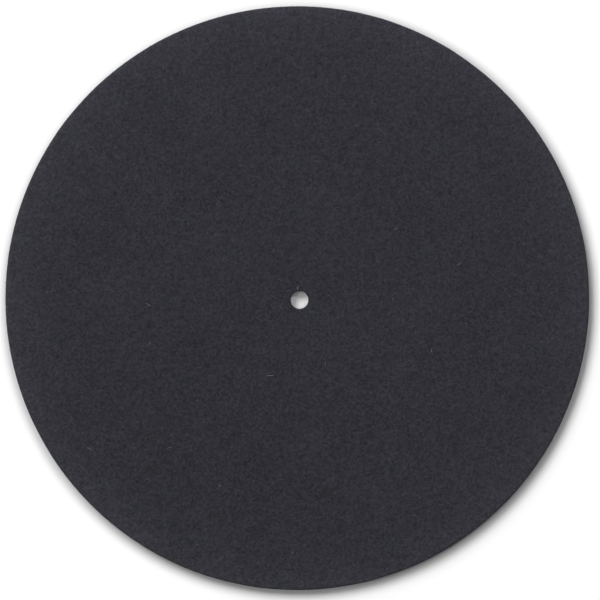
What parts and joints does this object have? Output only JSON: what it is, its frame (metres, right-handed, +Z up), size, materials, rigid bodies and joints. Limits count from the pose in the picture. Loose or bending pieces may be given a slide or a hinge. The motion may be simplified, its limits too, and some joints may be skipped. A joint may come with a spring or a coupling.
{
  "type": "turntable platter mat",
  "caption": "Flat round felt mat with a round hole in the middle, which lies on a turntable platter over the spindle and carries the record.",
  "frame": {"origin": "on the axis of the spindle hole, in the face that lies on the platter", "axes": "+Z up along the spindle, from the platter towards the record; +Y is the top of the picture"},
  "size_m": [0.295, 0.295, 0.003],
  "materials": {
    "black_felt": "matte"
  },
  "bodies": {
    "root": {"felt_mat": "black_felt"}
  },
  "joints": []
}
